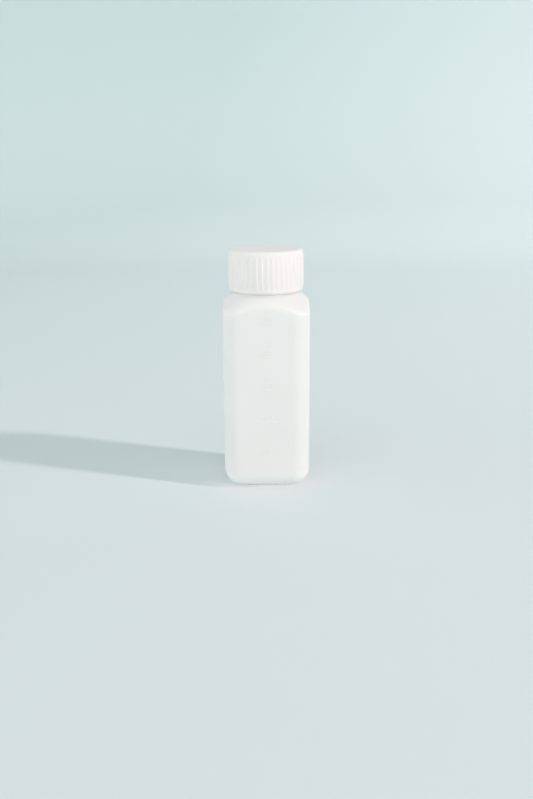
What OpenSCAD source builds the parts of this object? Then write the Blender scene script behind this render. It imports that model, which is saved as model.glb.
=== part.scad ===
// Square media bottle, 250 ml: a blow-moulded bottle, its screw cap and the cap's liner.
// Millimetres. +Z is up, the front wall faces -Y, and the origin is the middle of the base.

/* [Body] */
// Width of the square body, across its flat walls
body_w = 53; // [52:0.5:56]
// Radius of the four upright corners
corner_r = 10; // [8:0.5:12]
// Radius of the edge between the walls and the base
base_edge_r = 11.5; // [9:0.5:12]
// Thickness of the walls
wall = 1.4; // [1.2:0.1:1.8]
// Height at which the shoulder meets the neck
shoulder_h = 120.4; // [112:0.2:120.4]
// Steepness of the shoulder, in degrees from level
shoulder_slope = 35; // [28:1:40]
// How tightly the shoulder is blended into the flat walls
shoulder_blend = 20; // [10:1:24]
// How far the parting line stands out along both side walls
seam_h = 0.1; // [0.05:0.05:0.2]

/* [Base] */
// Half width of the flat ring that the bottle stands on, at its inner edge
ring_inner = 12; // [10:0.5:13]
// Depth of the hollow inside the standing ring
push_up = 2.4; // [1:0.2:3]
// Length of the pinch line that the mould leaves under the base
pinch_len = 16; // [10:1:16]

/* [Graduations] */
// Volume between two graduations, in millilitres
grad_volume = 50; // [50]
// Number of graduations
grad_count = 5; // [1:1:5]
// Height that the base and its rounded edge take from the volume
grad_zero = 3.4; // [2:0.1:5]
// How far a graduation stands out of the wall
grad_proud = 0.25; // [0.15:0.05:0.4]

/* [Neck] */
// Outer radius of the neck, between the turns of its thread
neck_r = 19.1; // [18.6:0.1:19.3]
// Radius of the mouth
mouth_r = 17.4; // [16.8:0.1:17.5]
// Gap between the bead round the neck's foot and the mouth of the cap
bead_gap = 0.4; // [0.3:0.1:0.6]
// Height of the bead above the shoulder
bead_h = 1.8; // [1.4:0.1:3]
// Height of the lip above the base
lip_h = 143.4; // [143:0.2:145]

/* [Thread] */
// Rise of the thread in one turn
pitch = 4.233; // [4.233]
// Turns of thread on the neck
neck_turns = 2; // [1.5:0.25:2.25]
// Turns of thread in the cap
cap_turns = 2; // [1.5:0.25:2.25]
// How far a thread stands out of its wall
thread_depth = 1.15; // [1:0.05:1.2]
// Height of a thread where it leaves its wall
thread_foot = 2.3; // [2:0.1:2.4]
// Height of a thread at its crest
thread_crest = 1.1; // [0.8:0.1:1.3]
// Gap between the neck and the cap
thread_gap = 0.35; // [0.3:0.05:0.4]

/* [Cap] */
// Radius of the cap, without its ribs
cap_r = 22.75; // [22.6:0.05:23.2]
// Height of the cap
cap_h = 25.9; // [25.4:0.1:26.3]
// Thickness of the top of the cap
cap_top = 1.9; // [1.6:0.1:2.2]
// Radius of the edge round the top
cap_edge_r = 2.2; // [1.5:0.1:2.4]
// Radius of the rounded lip at the bottom of the skirt
lip_round = 2.8; // [2.4:0.1:3.2]
// Number of grip ribs
rib_count = 45; // [36:1:48]
// Radius of one rib
rib_r = 1.05; // [0.9:0.05:1.1]
// How far a rib stands out of the skirt
rib_proud = 0.35; // [0.25:0.05:0.5]
// Height of the ribs above the bottom of the cap
rib_low = 3.6; // [3.2:0.1:5]
// Distance from the top of the cap down to the ribs
rib_top = 3.8; // [3:0.1:5]

/* [Liner] */
// Thickness of the foamed sealing disc
liner_t = 1.5; // [1.2:0.1:1.8]
// Gap between the disc and the wall of the cap
liner_gap = 0.4; // [0.3:0.1:0.6]

/* [Hidden] */

half_w = body_w / 2;
flat_points = 7;        // points along one flat wall, with the parting line counted as one
corner_steps = 8;       // facets of one upright corner
edge_steps = 6;         // rings of the rounded edge round the base
shoulder_steps = 14;    // rings of the shoulder
shoulder_from = shoulder_h - 18; // height at which it begins to draw in
foot_r = 20.5;          // radius at the top of the shoulder
hole_r = 18.2;          // hole in the body's top, hidden in the wall of the neck
ceiling_drop = 1.7;     // wall above the hollow, beside the neck
neck_foot = 0.9;        // how far the neck reaches down into the shoulder
neck_round = 0.5;       // rounding of the lip and the bead
seam_w = 0.4;           // half the width of the parting line
pinch_w = 0.8;
pinch_h = 0.5;          // how far the pinch line hangs below the hollow of the base
pinch_bury = 0.6;       // and how far it reaches into the wall
grad_t = 0.6;           // height of a graduation line
grad_long = 12;
grad_short = 7;
thread_steps = 48;      // facets in a turn of thread
thread_fade = 8;        // facets over which a thread runs out at each end
thread_bury = 0.5;      // how deep a thread's foot lies in its wall
thread_drop = 2.9;      // from the lip down to the top turn of the neck's thread

cap_top_z = lip_h + liner_t + cap_top;
cap_low_z = cap_top_z - cap_h;
bore_r = neck_r + thread_depth + thread_gap;
bead_r = bore_r - bead_gap;
skirt_mouth = bore_r + 0.5;      // inner edge of the skirt's lower end
rib_base = 0.3;                  // how deep a rib's root lies in the skirt
rib_ring = 1.2;                  // and the ring that carries the ribs

inner_area = pow(body_w - 2 * wall, 2) - (4 - PI) * pow(corner_r - wall, 2);
grad_step = grad_volume * 1000 / inner_area;

// Points along one flat from -w to w, with a ridge of height s in its middle
function flat(a, w, s) =
    let (n = flat_points + 1, half = [for (i = [1:n / 2 - 1]) w * (2 * i / n - 1)])
    concat([for (y = half) [a, y]],
        [[a, -seam_w], [a + s, 0], [a, seam_w]],
        [for (y = reversed(half)) [a, -y]]);

// Points of one side of a rounded square of half width a and corner radius r,
// from the middle of the corner before it: half a corner, the flat, half a corner
function side(a, r, s) = concat(
    [for (i = [0:corner_steps / 2]) let (t = -45 + 90 * i / corner_steps)
        [a - r + r * cos(t), -(a - r) + r * sin(t)]],
    flat(a, a - r, s),
    [for (i = [0:corner_steps / 2 - 1]) let (t = 90 * i / corner_steps)
        [a - r + r * cos(t), a - r + r * sin(t)]]);

function turned(p, t) = [p.x * cos(t) - p.y * sin(t), p.x * sin(t) + p.y * cos(t)];

// Rounded square with a parting line of height s on its two side walls
function rounded_square(a, r, s) =
    [for (k = [0:3]) for (p = side(a, r, k % 2 == 0 ? s : 0)) turned(p, 90 * k)];

// The smaller of two radii, blended where they are close
function blended(a, b) =
    let (m = min(a, b), n = shoulder_blend)
    m / pow(pow(m / a, n) + pow(m / b, n), 1 / n);

// A level ring of points: the square section, drawn in to radius limit where it is wider
function ring(z, a, r, limit = 1000, seam = 0) =
    [for (p = rounded_square(a, r, seam)) let (k = blended(norm(p), limit) / norm(p))
        [p.x * k, p.y * k, z]];

// Radius of the shoulder's cone at height z, with its wall set in by t
function cone_r(z, t) =
    foot_r + (shoulder_h - z) / tan(shoulder_slope) - t / sin(shoulder_slope);

// Rings from the standing ring up to the shoulder, for a skin set in by t
function base_rings(t, seam) =
    let (a = half_w - t, e = base_edge_r - t, c = corner_r - t)
    [for (i = [0:edge_steps]) let (s = 90 * i / edge_steps, d = e * (1 - sin(s)))
        ring(t + e * (1 - cos(s)), a - d, c - d / 2, seam = seam * i / edge_steps)];

function shoulder_rings(t, top, seam) =
    [for (i = [0:shoulder_steps]) let (f = i / shoulder_steps,
            z = shoulder_from + (top - shoulder_from) * (1 - pow(1 - f, 1.8)))
        ring(z, half_w - t, corner_r - t, cone_r(z, t), seam)];

// The hollow under the base, from its middle out to the standing ring
function push_up_rings(t) =
    let (a = ring_inner - t)
    [for (f = [0.35, 0.7, 0.9]) ring(t + push_up * (1 - pow(f, 4)), a * f, a * f / 2)];

function reversed(list) = [for (i = [len(list) - 1:-1:0]) list[i]];

// Closed skin through rings of equal length, with a point at each end
module skin(first, rings, last) {
    n = len(rings[0]);
    points = concat([first], [for (r = rings) each r], [last]);
    end = len(points) - 1;
    polyhedron(points, concat(
        [for (j = [0:n - 1]) [0, 1 + j, 1 + (j + 1) % n]],
        [for (i = [0:len(rings) - 2]) for (j = [0:n - 1])
            let (a = 1 + i * n + j, b = 1 + i * n + (j + 1) % n)
            each [[a, a + n, b], [b, a + n, b + n]]],
        [for (j = [0:n - 1]) [end, end - n + (j + 1) % n, end - n + j]]));
}

// A screw thread's ridge from height z, rising anticlockwise, with its foot at radius foot
// and its crest at radius crest; it runs out into its wall at both ends
module thread(foot, crest, z, turns) {
    n = turns * thread_steps;
    bury = crest > foot ? -thread_bury : thread_bury;
    faded = foot + bury / 5;
    sections = [for (i = [0:n])
        let (t = 360 * i / thread_steps, h = z + pitch * i / thread_steps,
            f = min(1, i / thread_fade, (n - i) / thread_fade), r = faded + (crest - faded) * f)
        [for (p = [[foot + bury, -thread_foot / 2], [r, -thread_crest / 2],
                   [r, thread_crest / 2], [foot + bury, thread_foot / 2]])
            [p[0] * cos(t), p[0] * sin(t), h + p[1]]]];
    points = [for (s = sections) each s];
    sides = [for (i = [0:n - 1]) for (j = [0:3])
        let (a = 4 * i + j, b = 4 * i + (j + 1) % 4)
        each (crest > foot ? [[a, b, a + 4], [b, b + 4, a + 4]] : [[a, a + 4, b], [b, a + 4, b + 4]])];
    ends = crest > foot
        ? [[3, 2, 1, 0], [4 * n, 4 * n + 1, 4 * n + 2, 4 * n + 3]]
        : [[0, 1, 2, 3], [4 * n + 3, 4 * n + 2, 4 * n + 1, 4 * n]];
    polyhedron(points, concat(sides, ends));
}

// Body of the bottle: one skin, out over the base and shoulder and back inside
module body() {
    top = shoulder_h;
    ceiling = shoulder_h - ceiling_drop;
    outside = concat(
        push_up_rings(0),
        [ring(0, ring_inner, ring_inner / 2)],
        base_rings(0, seam_h),
        shoulder_rings(0, top, seam_h));
    inside = concat(
        push_up_rings(wall),
        base_rings(wall, 0),
        shoulder_rings(wall, ceiling, 0));
    hole = [ring(top, half_w, corner_r, hole_r), ring(ceiling, half_w, corner_r, hole_r)];
    skin([0, 0, push_up], concat(outside, hole, reversed(inside)), [0, 0, push_up + wall]);
}

// Half section of a tube from r1 to r2 and z1 to z2, with its upper edges rounded
module tube_section(r1, r2, z1, z2) {
    translate([r1, z1])
        square([r2 - r1, z2 - z1 - neck_round]);
    translate([r1 + neck_round, z1])
        square([r2 - r1 - 2 * neck_round, z2 - z1]);
    for (r = [r1 + neck_round, r2 - neck_round])
        translate([r, z2 - neck_round])
            circle(neck_round, $fn = 40);
}

// Neck: a plain tube with a rounded lip, and a bead round its foot that fills the cap's mouth
module neck() {
    low = shoulder_h - neck_foot;
    rotate_extrude($fn = 120) {
        tube_section(mouth_r, neck_r, low, lip_h);
        tube_section(mouth_r + neck_round, bead_r, low, shoulder_h + bead_h);
    }
}

module graduations() {
    for (i = [1:grad_count])
        let (w = i % 2 == 0 ? grad_long : grad_short)
            translate([-w / 2, -half_w - grad_proud, grad_zero + i * grad_step - grad_t / 2])
                cube([w, grad_proud + wall / 2, grad_t]);
}

// Ridge left where the mould pinched the tube shut, in the hollow of the base
module pinch_line() {
    translate([-pinch_len / 2, -pinch_w / 2, push_up - pinch_h])
        cube([pinch_len, pinch_w, pinch_h + pinch_bury]);
}

module bottle() {
    color([0.9, 0.91, 0.9]) {
        body();
        neck();
        thread(neck_r, neck_r + thread_depth, lip_h - thread_drop - neck_turns * pitch, neck_turns);
        graduations();
        pinch_line();
    }
}

// Half section of the cap without ribs and thread
module cap_section() {
    lip_in = cap_r - lip_round;
    lip_rise = sqrt(pow(lip_round, 2) - pow(skirt_mouth - lip_in, 2));
    difference() {
        union() {
            translate([0, cap_low_z + lip_rise])
                square([cap_r, cap_h - lip_rise - cap_edge_r]);
            translate([0, cap_top_z - cap_edge_r])
                square([cap_r - cap_edge_r, cap_edge_r]);
            translate([cap_r - cap_edge_r, cap_top_z - cap_edge_r])
                circle(cap_edge_r, $fn = 64);
            intersection() {
                translate([lip_in, cap_low_z + lip_rise])
                    circle(lip_round, $fn = 64);
                translate([0, cap_low_z])
                    square([cap_r, lip_round]);
            }
        }
        translate([0, cap_low_z - 1])
            square([bore_r, cap_h - cap_top + 1]);
        translate([bore_r, cap_low_z])
            circle(skirt_mouth - bore_r, $fn = 4);
    }
}

// Grip ribs: a fluted ring round the skirt
module ribs() {
    translate([0, 0, cap_low_z + rib_low])
        linear_extrude(cap_h - rib_low - rib_top)
            difference() {
                union() {
                    circle(cap_r - rib_base, $fn = 180);
                    for (i = [0:rib_count - 1])
                        rotate(360 * i / rib_count)
                            translate([cap_r + rib_proud - rib_r, 0])
                                circle(rib_r, $fn = 32);
                }
                circle(cap_r - rib_ring, $fn = 180);
            }
}

module cap() {
    color([0.93, 0.92, 0.89]) {
        rotate_extrude($fn = 180)
            cap_section();
        ribs();
        thread(bore_r, bore_r - thread_depth,
            lip_h - thread_drop - neck_turns * pitch + pitch / 2, cap_turns);
    }
}

module liner() {
    color([0.96, 0.96, 0.95])
        translate([0, 0, lip_h])
            cylinder(h = liner_t, r = bore_r - liner_gap, $fn = 120);
}

bottle();
cap();
liner();
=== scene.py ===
import bpy
import bmesh
import math
from mathutils import Matrix, Vector


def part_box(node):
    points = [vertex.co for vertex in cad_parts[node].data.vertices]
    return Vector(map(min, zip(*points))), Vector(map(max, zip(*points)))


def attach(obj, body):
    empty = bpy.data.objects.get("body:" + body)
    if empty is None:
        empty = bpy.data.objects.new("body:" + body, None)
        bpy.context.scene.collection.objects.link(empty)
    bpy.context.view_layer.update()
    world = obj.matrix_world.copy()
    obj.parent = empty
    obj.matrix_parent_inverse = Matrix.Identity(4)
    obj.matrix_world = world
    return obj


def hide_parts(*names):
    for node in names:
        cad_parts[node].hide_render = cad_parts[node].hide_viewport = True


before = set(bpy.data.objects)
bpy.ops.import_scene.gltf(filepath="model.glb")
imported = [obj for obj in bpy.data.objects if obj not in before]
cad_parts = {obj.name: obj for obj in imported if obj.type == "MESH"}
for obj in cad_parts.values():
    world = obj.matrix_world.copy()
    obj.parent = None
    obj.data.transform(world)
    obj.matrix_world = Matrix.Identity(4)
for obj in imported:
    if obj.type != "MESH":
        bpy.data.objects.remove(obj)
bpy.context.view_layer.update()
scene = bpy.context.scene
mm = 0.001
print("frame loaded")


camera = {
    "aside": 0.0007,      # to the right of the bottle's axis
    "distance": 0.5453,   # from the bottle's axis, along the floor
    "height": 0.2029,
    "lookDown": 15.55,    # degrees
    "roll": 0.31,
    "lens": 40.0,
}


def makeCamera(c):
    data = bpy.data.cameras.new("camera")
    data.lens = c["lens"]
    data.sensor_width = 36.0
    data.clip_start = 0.01
    data.clip_end = 50.0
    obj = bpy.data.objects.new("camera", data)
    scene.collection.objects.link(obj)
    obj.location = (c["aside"], -c["distance"], c["height"])
    obj.rotation_euler = (math.radians(90.0 - c["lookDown"]), math.radians(c["roll"]), 0.0)
    scene.camera = obj


makeCamera(camera)


def drawRing(verts, height, radiusAt):
    for v in verts:
        angle = math.atan2(v.co.y, v.co.x)
        r = radiusAt(angle, height)
        v.co = (r * math.cos(angle), r * math.sin(angle), height)


def growSkin(name, segments, rings):
    bm = bmesh.new()
    bmesh.ops.create_circle(bm, segments=segments, radius=1.0, cap_ends=False)
    start = list(bm.edges)
    drawRing(bm.verts, *rings[0])
    edges = start
    for height, radiusAt in rings[1:]:
        grown = bmesh.ops.extrude_edge_only(bm, edges=edges)["geom"]
        edges = [e for e in grown if isinstance(e, bmesh.types.BMEdge)]
        drawRing([v for v in grown if isinstance(v, bmesh.types.BMVert)], height, radiusAt)
    for rim in (start, edges):
        closePole(bm, rim)
    return finishMesh(name, bm)


def closePole(bm, rim):
    grown = bmesh.ops.extrude_edge_only(bm, edges=rim)["geom"]
    verts = [v for v in grown if isinstance(v, bmesh.types.BMVert)]
    bmesh.ops.pointmerge(bm, verts=verts, merge_co=(0.0, 0.0, verts[0].co.z))


def finishMesh(name, bm):
    bmesh.ops.remove_doubles(bm, verts=bm.verts, dist=0.000001)
    bmesh.ops.recalc_face_normals(bm, faces=bm.faces)
    for f in bm.faces:
        f.smooth = True
    mesh = bpy.data.meshes.new(name)
    bm.to_mesh(mesh)
    bm.free()
    obj = bpy.data.objects.new(name, mesh)
    scene.collection.objects.link(obj)
    return obj


def steps(low, high, count):
    return [low + (high - low) * i / count for i in range(count + 1)]


def roundRing(radius):
    return lambda angle, height: radius


# the neck and the cap share one screw thread
thread = {
    "pitch": 4.233 * mm,
    "turns": 2.0,
    "depth": 1.15 * mm,
    "foot": 2.3 * mm,
    "crest": 1.1 * mm,
    "fade": 1.0 / 6.0,    # of a turn, over which each end runs out
    "drop": 2.9 * mm,     # from the lip down to the top turn
    "rings": 84,          # of mesh along it
}


def ridge(angle, height, start):
    # how far the thread stands out at this place, for a thread that starts at height start
    best = 0.0
    turn = (angle % math.tau) / math.tau
    for whole in range(int(thread["turns"]) + 1):
        along = whole + turn
        if along > thread["turns"]:
            continue
        off = abs(height - start - along * thread["pitch"])
        flank = (thread["foot"] / 2 - off) / ((thread["foot"] - thread["crest"]) / 2)
        fade = min(1.0, along / thread["fade"], (thread["turns"] - along) / thread["fade"])
        best = max(best, min(1.0, max(0.0, flank)) * max(0.0, fade))
    return best * thread["depth"]


bottleLow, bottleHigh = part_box("bottle")
bottle = {
    "halfWidth": bottleHigh[1],    # the back wall is plain
    "corner": 10.0 * mm,
    "baseEdge": 11.5 * mm,
    "wall": 1.4 * mm,
    "shoulder": 120.4 * mm,
    "slope": math.radians(35.0),
    "blend": 20.0,
    "shoulderFoot": 20.5 * mm,
    "shoulderFrom": 100.0 * mm,
    "ceiling": 118.7 * mm,
    "seam": 0.1 * mm,          # parting line on both side walls
    "ringInner": 12.0 * mm,
    "pushUp": 2.4 * mm,
    # length, width and depth of the pinched line under the base
    "pinch": (16.0 * mm, 0.8 * mm, 0.5 * mm),
    "neck": 19.1 * mm,
    "bead": 20.2 * mm,
    "beadTop": 122.2 * mm,
    "shoulderTop": 119.14 * mm,
    # radius and height, in mm, of the collar that the lip of the cap comes down to
    "collar": [
        (22.12, 119.28), (21.98, 119.45), (21.91, 119.7), (21.9, 120.0), (21.9, 120.6), (21.9, 121.1),
        (21.89, 121.2), (21.84, 121.24), (21.75, 121.19), (21.6, 121.07), (21.4, 120.94), (21.2, 120.83),
        (21.05, 120.77), (20.6, 120.75), (20.37, 120.79), (20.25, 120.9), (20.2, 121.05),
    ],
    "mouth": 17.4 * mm,
    "lip": bottleHigh[2],
    "neckRound": 0.5 * mm,
    "segments": 256,
    "edgeRings": (16, 12),       # of mesh, outside and inside
    "shoulderRings": (44, 24),
}
lipZ = bottle["lip"]
threadZ = lipZ - thread["drop"] - thread["turns"] * thread["pitch"]
bottleFront = -bottle["halfWidth"]


def squareRadius(angle, half, corner):
    # distance from the axis to a rounded square
    c, s = abs(math.cos(angle)), abs(math.sin(angle))
    if c < s:
        c, s = s, c
    if half * s / c <= half - corner:
        return half / c
    along = (half - corner) * (c + s)
    return along + math.sqrt(along * along - 2 * (half - corner) ** 2 + corner * corner)


def blended(a, b):
    n, m = bottle["blend"], min(a, b)
    return m / ((m / a) ** n + (m / b) ** n) ** (1 / n)


def seamHeight(angle, share):
    # the parting line is one column of vertices on each side wall
    onSide = abs(math.sin(angle)) < math.pi / bottle["segments"]
    return bottle["seam"] * share if onSide else 0.0


def squareRing(inset, corner, seamShare=0.0):
    half = bottle["halfWidth"] - inset
    return lambda angle, height: squareRadius(angle, half, corner) + seamHeight(angle, seamShare)


def shoulderRing(wall, seamShare):
    b = bottle

    def radiusAt(angle, height):
        cone = b["shoulderFoot"] + (b["shoulder"] - height) / math.tan(b["slope"])
        cone -= wall / math.sin(b["slope"])
        square = squareRadius(angle, b["halfWidth"] - wall, b["corner"] - wall)
        return blended(square + seamHeight(angle, seamShare), cone)

    return radiusAt


def pushUpRings(wall, fractions):
    b = bottle
    half = b["ringInner"] - wall
    return [(wall + b["pushUp"] * (1 - f ** 4), squareRing(b["halfWidth"] - half * f, half * f / 2))
            for f in fractions]


def baseEdgeRings(wall, count, seamShare):
    b = bottle
    edge = b["baseEdge"] - wall
    rings = []
    for t in steps(0.0, math.pi / 2, count):
        drawnIn = edge * (1 - math.sin(t))
        corner = b["corner"] - wall - drawnIn / 2
        rings.append((wall + edge * (1 - math.cos(t)),
                      squareRing(wall + drawnIn, corner, seamShare * math.sin(t))))
    return rings


def shoulderRings(wall, top, count, seamShare):
    low = bottle["shoulderFrom"]
    return [(low + (top - low) * (1 - (1 - f) ** 1.8), shoulderRing(wall, seamShare))
            for f in steps(0.0, 1.0, count)]


def neckRadius(angle, height):
    return bottle["neck"] + ridge(angle, height, threadZ)


def quarterRound(radius, height, size, start, end):
    # rings round the edge whose corner circle has its middle at this radius and height
    return [(height + size * math.sin(t), roundRing(radius + size * math.cos(t)))
            for t in steps(math.radians(start), math.radians(end), 6)]


def neckRings():
    b = bottle
    size = b["neckRound"]
    rings = [(height * mm, roundRing(radius * mm)) for radius, height in b["collar"]]
    rings += quarterRound(b["bead"] - size, b["beadTop"] - size, size, 0, 90)
    rings += quarterRound(b["neck"] + 0.3 * mm, b["beadTop"] + 0.3 * mm, 0.3 * mm, 270, 180)
    rings += [(z, neckRadius) for z in steps(b["beadTop"] + 1 * mm, lipZ - 1.2 * mm, thread["rings"])]
    rings += quarterRound(b["neck"] - size, lipZ - size, size, 0, 90)
    rings += quarterRound(b["mouth"] + size, lipZ - size, size, 90, 180)
    return rings


def makeBottle():
    b = bottle
    outside = pushUpRings(0.0, [0.1, 0.3, 0.5, 0.7, 0.8, 0.88, 0.95, 1.0])
    outside += baseEdgeRings(0.0, b["edgeRings"][0], 1.0)
    outside += shoulderRings(0.0, b["shoulderTop"], b["shoulderRings"][0], 1.0)
    inside = pushUpRings(b["wall"], [0.1, 0.3, 0.5, 0.7, 0.8, 0.9, 1.0])
    inside += baseEdgeRings(b["wall"], b["edgeRings"][1], 0.0)
    inside += shoulderRings(b["wall"], b["ceiling"], b["shoulderRings"][1], 0.0)
    bore = [(z, roundRing(b["mouth"])) for z in (lipZ - 5 * mm, b["shoulder"] + 2 * mm)]
    bore += [(b["ceiling"] + 0.7 * mm, roundRing(b["mouth"] + 0.2 * mm)),
             (b["ceiling"], roundRing(b["mouth"] + 1.0 * mm))]
    return growSkin("bottleShell", b["segments"], outside + neckRings() + bore + inside[::-1])


# raised bars and plain numbers on the front wall
graduations = {
    "first": 3.4 * mm,
    "step": 20.37 * mm,
    "volume": 50,
    "count": 5,
    "long": 12.0 * mm,
    "short": 7.0 * mm,
    "thickness": 0.6 * mm,
    "proud": 0.25 * mm,
    "digit": 3.6 * mm,
}


def makeBar(bm, size, middle):
    made = bmesh.ops.create_cube(bm, size=1.0)["verts"]
    bmesh.ops.scale(bm, verts=made, vec=size)
    bmesh.ops.translate(bm, verts=made, vec=middle)
    edges = {e for v in made for e in v.link_edges}
    bmesh.ops.bevel(bm, geom=list(edges), offset=0.15 * mm, offset_type="OFFSET", segments=3,
                    profile=0.5, affect="EDGES", material=-1)


def makeNumber(bm, number, height):
    g = graduations
    curve = bpy.data.curves.new("digits", "FONT")
    curve.body = str(number)
    curve.align_x = "CENTER"
    curve.size = g["digit"] * 1.4
    curve.extrude = 0.12 * mm
    curve.bevel_depth = 0.1 * mm
    curve.bevel_resolution = 2
    curve.offset = -0.06 * mm
    curve.resolution_u = 6
    text = bpy.data.objects.new("digits", curve)
    mesh = bpy.data.meshes.new_from_object(text)
    mesh.transform(Matrix.Translation((0.0, bottleFront + 0.02 * mm, height + 1.0 * mm))
                   @ Matrix.Rotation(math.pi / 2, 4, "X"))
    bm.from_mesh(mesh)
    bpy.data.objects.remove(text)
    bpy.data.curves.remove(curve)
    bpy.data.meshes.remove(mesh)


def makeMarks():
    g = graduations
    bm = bmesh.new()
    for i in range(1, g["count"] + 1):
        height = g["first"] + i * g["step"]
        width = g["long"] if i % 2 == 0 else g["short"]
        makeBar(bm, (width, 2 * g["proud"], g["thickness"]), (0.0, bottleFront, height))
        makeNumber(bm, i * g["volume"], height)
    length, width, depth = bottle["pinch"]
    makeBar(bm, (length, width, 2 * depth), (0.0, 0.0, bottle["pushUp"]))
    return finishMesh("marks", bm)


def onMark(co):
    length, width, depth = bottle["pinch"]
    reach = 0.51          # just past half of each side
    inside = abs(co.x) < length * reach and abs(co.y) < width * reach
    onPinch = inside and co.z < bottle["pushUp"] + 0.1 * mm
    return co.y < bottleFront + 0.01 * mm or onPinch


def joinToWall(shell, marks):
    # the marks and the wall become one skin, with crisp edges round the marks only
    union = shell.modifiers.new("union", "BOOLEAN")
    union.operation = "UNION"
    union.solver = "EXACT"
    union.object = marks
    joined = shell.evaluated_get(bpy.context.evaluated_depsgraph_get())
    whole = bpy.data.meshes.new_from_object(joined)
    shell.modifiers.remove(union)
    bpy.data.objects.remove(marks)
    bm = bmesh.new()
    bm.from_mesh(whole)
    for f in bm.faces:
        f.smooth = True
    for e in bm.edges:
        if onMark(e.verts[0].co) and onMark(e.verts[1].co):
            e.smooth = e.calc_face_angle(0.0) < math.radians(25.0)
    bm.to_mesh(whole)
    print("open edges", sum(not e.is_manifold for e in bm.edges))
    bm.free()
    shell.data = whole


bottleShell = makeBottle()
joinToWall(bottleShell, makeMarks())
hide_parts("bottle")
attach(bottleShell, "bottle")
print("bottle made", len(bottleShell.data.polygons))


capLow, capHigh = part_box("cap")
cap = {
    "radius": 22.75 * mm,
    "bottom": capLow[2],
    "topZ": capHigh[2],
    "top": 1.9 * mm,
    "edge": 2.2 * mm,
    "lipRound": 2.8 * mm,
    "mouth": 21.1 * mm,        # inner edge of the skirt's lower end
    "ribs": 45,
    "ribRadius": 1.05 * mm,
    "ribProud": 0.35 * mm,
    "ribLow": 3.6 * mm,
    "ribTop": 3.8 * mm,
    "bore": 20.6 * mm,
    "gate": 1.8 * mm,          # dimple in the middle of the top
    "gateDepth": 0.3 * mm,
    "segmentsPerRib": 14,
}


def ribHeight(angle):
    # how far a rib stands out of the skirt at this angle
    c = cap
    pitch = math.tau / c["ribs"]
    off = ((angle + pitch / 2) % pitch - pitch / 2) * (c["radius"] + c["ribProud"])
    inside = c["ribRadius"] ** 2 - off * off
    if inside <= 0:
        return 0.0
    return max(0.0, math.sqrt(inside) - c["ribRadius"] + c["ribProud"])


def skirtRadius(angle, height):
    c = cap
    low, high = c["bottom"] + c["ribLow"], c["topZ"] - c["ribTop"]
    grown = min(height - low, high - height) / (c["ribProud"] + 0.1 * mm)
    return c["radius"] + ribHeight(angle) * min(1.0, max(0.0, grown))


def capBore(angle, height):
    return cap["bore"] - ridge(angle, height, threadZ + thread["pitch"] / 2)


def boreRings():
    # from the middle of the ceiling down to the mouth
    c = cap
    inner, size = c["topZ"] - c["top"], 0.3 * mm
    rings = [(inner, roundRing(r * c["bore"])) for r in (0.3, 0.9)]
    rings += quarterRound(c["bore"] - size, inner - size, size, 90, 0)
    rings += [(z, capBore) for z in steps(lipZ, c["bottom"] + 2 * mm, thread["rings"])]
    chamfer = c["mouth"] - c["bore"]
    rings += [(c["bottom"] + chamfer, roundRing(c["bore"])), (c["bottom"], roundRing(c["mouth"]))]
    return rings


def skirtRings():
    # from the mouth up over the lip, the ribs and the edge to the middle of the top
    c = cap
    middle = c["radius"] - c["lipRound"]
    start = math.asin((c["mouth"] - middle) / c["lipRound"])
    rise = c["lipRound"] * math.cos(start)
    rings = [(c["bottom"] + rise - c["lipRound"] * math.cos(t),
              roundRing(middle + c["lipRound"] * math.sin(t)))
             for t in steps(start, math.pi / 2, 12)[1:]]
    low, high = c["bottom"] + c["ribLow"], c["topZ"] - c["ribTop"]
    fade = c["ribProud"] + 0.1 * mm
    rings += [(z, skirtRadius) for z in steps(low, low + fade, 4) + steps(high - fade, high, 4)]
    rings += [(c["topZ"] - c["edge"] * (1 - math.sin(t)),
               roundRing(c["radius"] - c["edge"] * (1 - math.cos(t))))
              for t in steps(0.0, math.pi / 2, 12)]
    rings += [(c["topZ"], roundRing(r * c["radius"])) for r in (0.85, 0.4)]
    deep = c["gateDepth"]
    rings += [(c["topZ"] - deep * (1 - math.cos(t)) / 2,
               roundRing(c["gate"] * (1.15 - 0.3 * t / math.pi)))
              for t in steps(0.0, math.pi, 6)]
    return rings


def makeCap():
    return growSkin("capShell", cap["ribs"] * cap["segmentsPerRib"], boreRings() + skirtRings())


capShell = makeCap()
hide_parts("cap")
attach(capShell, "cap")
print("cap made", len(capShell.data.polygons))


def newMaterial(name):
    material = bpy.data.materials.new(name)
    material.use_nodes = True
    return material, material.node_tree, material.node_tree.nodes["Principled BSDF"]


def scaledSum(tree, terms, start):
    # start plus each output times its factor
    total = start
    for output, factor in terms:
        node = tree.nodes.new("ShaderNodeMath")
        node.operation = "MULTIPLY_ADD"
        node.inputs[1].default_value = factor
        tree.links.new(output, node.inputs[0])
        if total is start:
            node.inputs[2].default_value = start
        else:
            tree.links.new(total, node.inputs[2])
        total = node.outputs[0]
    return total


# how far the slow waves and the fine grain stand out at full strength
skinRelief = {"wave": 0.2 * mm, "grain": 0.05 * mm}


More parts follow.
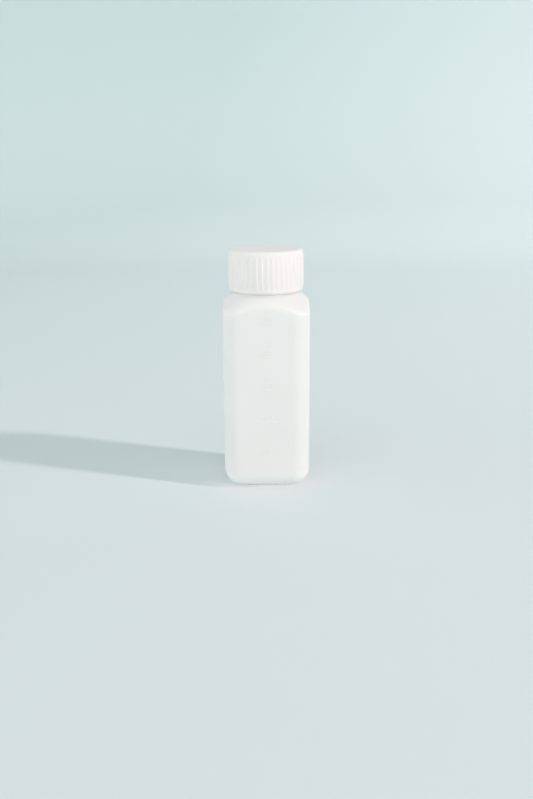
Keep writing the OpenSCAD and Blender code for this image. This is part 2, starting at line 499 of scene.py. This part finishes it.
def makeSkinGroup():
    group = bpy.data.node_groups.new("mouldedSkin", "ShaderNodeTree")
    face = group.interface
    defaults = {"Grain Size": 900.0, "Grain Depth": 0.1, "Wave Size": 60.0, "Wave Depth": 0.1}
    for name, value in defaults.items():
        socket = face.new_socket(name, in_out="INPUT", socket_type="NodeSocketFloat")
        socket.default_value = value
    face.new_socket("Tone", in_out="OUTPUT", socket_type="NodeSocketFloat")
    face.new_socket("Normal", in_out="OUTPUT", socket_type="NodeSocketVector")
    nodes, links = group.nodes, group.links
    inputs = nodes.new("NodeGroupInput")
    outputs = nodes.new("NodeGroupOutput")
    place = nodes.new("ShaderNodeTexCoord")
    wave = nodes.new("ShaderNodeTexNoise")
    wave.inputs["Detail"].default_value = 3.0
    links.new(place.outputs["Object"], wave.inputs["Vector"])
    links.new(inputs.outputs["Wave Size"], wave.inputs["Scale"])
    grain = nodes.new("ShaderNodeTexNoise")
    grain.inputs["Detail"].default_value = 2.0
    links.new(place.outputs["Object"], grain.inputs["Vector"])
    links.new(inputs.outputs["Grain Size"], grain.inputs["Scale"])
    waveBump = nodes.new("ShaderNodeBump")
    waveBump.inputs["Distance"].default_value = skinRelief["wave"]
    links.new(inputs.outputs["Wave Depth"], waveBump.inputs["Strength"])
    links.new(wave.outputs["Fac"], waveBump.inputs["Height"])
    grainBump = nodes.new("ShaderNodeBump")
    grainBump.inputs["Distance"].default_value = skinRelief["grain"]
    links.new(inputs.outputs["Grain Depth"], grainBump.inputs["Strength"])
    links.new(grain.outputs["Fac"], grainBump.inputs["Height"])
    links.new(waveBump.outputs["Normal"], grainBump.inputs["Normal"])
    links.new(wave.outputs["Fac"], outputs.inputs["Tone"])
    links.new(grainBump.outputs["Normal"], outputs.inputs["Normal"])
    return group


skinGroup = makeSkinGroup()


def mouldedPlastic(name, finish):
    material, tree, shader = newMaterial(name)
    node = tree.nodes.new("ShaderNodeGroup")
    node.node_tree = skinGroup
    for key, value in finish["skin"].items():
        node.inputs[key].default_value = value
    mix = tree.nodes.new("ShaderNodeMix")
    mix.data_type = "RGBA"
    mix.inputs[6].default_value = (*finish["dark"], 1.0)
    mix.inputs[7].default_value = (*finish["light"], 1.0)
    tree.links.new(node.outputs["Tone"], mix.inputs[0])
    tree.links.new(mix.outputs[2], shader.inputs["Base Color"])
    tree.links.new(node.outputs["Normal"], shader.inputs["Normal"])
    shader.inputs["Roughness"].default_value = finish["roughness"]
    shader.inputs["Subsurface Weight"].default_value = finish["milky"]
    shader.inputs["Subsurface Radius"].default_value = (1.0, 0.95, 0.9)
    shader.inputs["Subsurface Scale"].default_value = finish["milkyDepth"]
    shader.inputs["IOR"].default_value = 1.5
    shader.inputs["Specular IOR Level"].default_value = 0.35
    return material


bottleFinish = {
    "dark": (0.858, 0.81, 0.79),
    "light": (0.873, 0.825, 0.805),
    "roughness": 0.38,
    "milky": 1.0,                      # share of the light that enters the plastic
    "milkyDepth": 2.0 * mm,
    "skin": {"Grain Size": 1500.0, "Grain Depth": 0.12, "Wave Size": 45.0, "Wave Depth": 0.25},
    # painted light: a paler colour low on the bottle, covering the shade round the base
    "paintedBaseLight": (1.0, 0.93, 0.895),
    "paintedBaseLightReach": (13 * mm, 2 * mm),    # heights where the painted light starts and is full
}
capFinish = {
    "dark": (0.845, 0.79, 0.772),
    "light": (0.865, 0.81, 0.792),
    "roughness": 0.45,
    "milky": 0.6,
    "milkyDepth": 1.5 * mm,
    "skin": {"Grain Size": 2200.0, "Grain Depth": 0.15, "Wave Size": 80.0, "Wave Depth": 0.1},
}
linerFinish = {
    "dark": (0.88, 0.88, 0.86),
    "light": (0.91, 0.91, 0.89),
    "roughness": 0.7,
    "milky": 0.2,
    "milkyDepth": 0.5 * mm,
    "skin": {"Grain Size": 3000.0, "Grain Depth": 0.5, "Wave Size": 200.0, "Wave Depth": 0.1},
}
bottlePlastic = mouldedPlastic("bottlePlastic", bottleFinish)
capPlastic = mouldedPlastic("capPlastic", capFinish)
linerFoam = mouldedPlastic("linerFoam", linerFinish)


def smoothShare(tree, output, start, end):
    # 0 where the output is at start, 1 where it is at end
    share = tree.nodes.new("ShaderNodeMapRange")
    share.interpolation_type = "SMOOTHSTEP"
    turned = start > end
    share.inputs["From Min"].default_value = min(start, end)
    share.inputs["From Max"].default_value = max(start, end)
    share.inputs["To Min"].default_value = float(turned)
    share.inputs["To Max"].default_value = float(not turned)
    tree.links.new(output, share.inputs["Value"])
    return share.outputs[0]


def product(tree, first, second):
    node = tree.nodes.new("ShaderNodeMath")
    node.operation = "MULTIPLY"
    for socket, value in zip(node.inputs, (first, second)):
        tree.links.new(value, socket)
    return node.outputs[0]


def paleBase(material, finish):
    # painted light: the colour is mixed paler low on the bottle, over the shade that falls round the
    # base
    tree = material.node_tree
    socket = tree.nodes["Principled BSDF"].inputs["Base Color"]
    place = tree.nodes.new("ShaderNodeTexCoord")
    split = tree.nodes.new("ShaderNodeSeparateXYZ")
    tree.links.new(place.outputs["Object"], split.inputs[0])
    mix = tree.nodes.new("ShaderNodeMix")
    mix.data_type = "RGBA"
    tree.links.new(smoothShare(tree, split.outputs["Z"], *finish["paintedBaseLightReach"]), mix.inputs[0])
    tree.links.new(socket.links[0].from_socket, mix.inputs[6])
    mix.inputs[7].default_value = (*finish["paintedBaseLight"], 1.0)
    tree.links.new(mix.outputs[2], socket)


paleBase(bottlePlastic, bottleFinish)
for piece, material in ((bottleShell, bottlePlastic), (capShell, capPlastic),
                        (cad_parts["liner"], linerFoam)):
    piece.data.materials.clear()
    piece.data.materials.append(material)
print("materials made")


light = {
    "azimuth": math.radians(19.2),     # from +X towards the camera
    "elevation": math.radians(29.0),
    "key": 0.405 * math.pi,
    "keyAngle": math.radians(4.0),
    "keyColour": (1.0, 0.915, 0.905),
    "skyColour": (0.925, 1.0, 1.0),
    "zenith": 0.40,                    # the sky overhead
    "horizon": 0.84,                   # and how much brighter it is at eye level
    "left": 0.31,                      # and towards the left
    "front": 0.36,                     # and towards the camera
}


# floor and backdrop in one sweep of paper
stage = {
    "front": -1.2,
    "back": 1.6,
    "sweep": 0.5,
    "height": 2.2,
    "width": 5.0,
    "dark": (0.57, 0.65, 0.65),       # painted shade, towards the left, the back and up the backdrop, where less light falls
    "light": (0.965, 0.975, 1.0),
    "across": 0.32,                    # shares of the mix, for each metre
    "deep": 0.175,
    "up": 0.19,
    "upReach": 0.1,
    # painted light and painted shadow: glow colours the camera sees on the paper close in front of the
    # base, lit and in the shadow
    "nearPaintedLight": (0.765, 0.78, 0.78),
    "nearPaintedShadow": (0.54, 0.65, 0.65),
    "nearShare": 0.85,
    "nearReach": (50 * mm, 20 * mm),
    "nearFront": (-4 * mm, -13 * mm),
    "shadeAlong": (5 * mm, -15 * mm),      # where the shadow sets in, away from the light
    "shadeBeside": (-27 * mm, -20 * mm),   # and across it
}


def brightenNear(tree, shader, split):
    # painted light: for the camera only, a glow paints the paper in front of the base pale over its
    # contact shade, with a painted shadow tone where the cast shadow falls
    s = stage
    flat = tree.nodes.new("ShaderNodeCombineXYZ")
    distance = tree.nodes.new("ShaderNodeVectorMath")
    distance.operation = "LENGTH"
    for axis in "XY":
        tree.links.new(split.outputs[axis], flat.inputs[axis])
    tree.links.new(flat.outputs[0], distance.inputs[0])
    near = product(tree, smoothShare(tree, distance.outputs["Value"], *s["nearReach"]),
                   smoothShare(tree, split.outputs["Y"], *s["nearFront"]))
    c, w = math.cos(light["azimuth"]), math.sin(light["azimuth"])
    along = scaledSum(tree, [(split.outputs["X"], c), (split.outputs["Y"], -w)], 0.0)
    beside = scaledSum(tree, [(split.outputs["X"], w), (split.outputs["Y"], c)], 0.0)
    shade = product(tree, smoothShare(tree, along, *s["shadeAlong"]),
                    smoothShare(tree, beside, *s["shadeBeside"]))
    mix = tree.nodes.new("ShaderNodeMix")
    mix.data_type = "RGBA"
    mix.inputs[6].default_value = (*s["nearPaintedLight"], 1.0)
    mix.inputs[7].default_value = (*s["nearPaintedShadow"], 1.0)
    tree.links.new(shade, mix.inputs[0])
    glow = tree.nodes.new("ShaderNodeEmission")
    tree.links.new(mix.outputs[2], glow.inputs["Color"])
    path = tree.nodes.new("ShaderNodeLightPath")
    seen = product(tree, near, path.outputs["Is Camera Ray"])
    blend = tree.nodes.new("ShaderNodeMixShader")
    tree.links.new(scaledSum(tree, [(seen, s["nearShare"])], 0.0), blend.inputs[0])
    tree.links.new(shader.outputs[0], blend.inputs[1])
    tree.links.new(glow.outputs[0], blend.inputs[2])
    tree.links.new(blend.outputs[0], tree.nodes["Material Output"].inputs["Surface"])


def makeStage():
    s = stage
    bm = bmesh.new()
    first = bm.verts.new((-s["width"] / 2, s["front"], 0.0))
    second = bm.verts.new((s["width"] / 2, s["front"], 0.0))
    edge = bm.edges.new((first, second))
    path = [(s["back"] - s["sweep"], 0.0)]
    for t in steps(0.0, math.pi / 2, 24)[1:]:
        path.append((s["back"] - s["sweep"] * (1 - math.sin(t)), s["sweep"] * (1 - math.cos(t))))
    path.append((s["back"], s["height"]))
    for y, z in path:
        grown = bmesh.ops.extrude_edge_only(bm, edges=[edge])["geom"]
        edge = [e for e in grown if isinstance(e, bmesh.types.BMEdge)][0]
        for v in edge.verts:
            v.co.y, v.co.z = y, z
    floor = finishMesh("floor", bm)
    material, tree, shader = newMaterial("paper")
    place = tree.nodes.new("ShaderNodeTexCoord")
    split = tree.nodes.new("ShaderNodeSeparateXYZ")
    tree.links.new(place.outputs["Object"], split.inputs[0])
    # painted shade: the paper's colour is mixed darker towards the left, the back and up the backdrop,
    # standing in for less light falling there
    up = tree.nodes.new("ShaderNodeMapRange")
    up.inputs["From Max"].default_value = s["upReach"]
    tree.links.new(split.outputs["Z"], up.inputs["Value"])
    share = scaledSum(tree, [(split.outputs["X"], s["across"]), (split.outputs["Y"], -s["deep"]),
                             (up.outputs[0], -s["up"])], 0.5)
    mix = tree.nodes.new("ShaderNodeMix")
    mix.data_type = "RGBA"
    mix.inputs[6].default_value = (*s["dark"], 1.0)
    mix.inputs[7].default_value = (*s["light"], 1.0)
    tree.links.new(share, mix.inputs[0])
    tree.links.new(mix.outputs[2], shader.inputs["Base Color"])
    shader.inputs["Roughness"].default_value = 0.9
    shader.inputs["Specular IOR Level"].default_value = 0.1
    brightenNear(tree, shader, split)
    floor.data.materials.append(material)


def makeSky(s):
    world = bpy.data.worlds.new("studio")
    world.use_nodes = True
    nodes, links = world.node_tree.nodes, world.node_tree.links
    place = nodes.new("ShaderNodeTexCoord")
    split = nodes.new("ShaderNodeSeparateXYZ")
    links.new(place.outputs["Generated"], split.inputs[0])
    up = nodes.new("ShaderNodeMath")
    up.operation = "ABSOLUTE"
    links.new(split.outputs["Z"], up.inputs[0])
    level = scaledSum(world.node_tree,
                      [(up.outputs[0], -s["horizon"]), (split.outputs["X"], -s["left"]),
                       (split.outputs["Y"], -s["front"])], s["zenith"] + s["horizon"])
    links.new(level, nodes["Background"].inputs["Strength"])
    nodes["Background"].inputs["Color"].default_value = (*s["skyColour"], 1.0)
    scene.world = world


def makeLight():
    s = light
    data = bpy.data.lights.new("key", "SUN")
    data.energy = s["key"]
    data.angle = s["keyAngle"]
    data.color = s["keyColour"]
    lamp = bpy.data.objects.new("key", data)
    scene.collection.objects.link(lamp)
    flat = math.cos(s["elevation"])
    towards = Vector((flat * math.cos(s["azimuth"]), -flat * math.sin(s["azimuth"]),
                      math.sin(s["elevation"])))
    lamp.rotation_euler = towards.to_track_quat("Z", "Y").to_euler()
    makeSky(s)


makeStage()
makeLight()
scene.view_settings.view_transform = "Standard"
print("stage and light made")
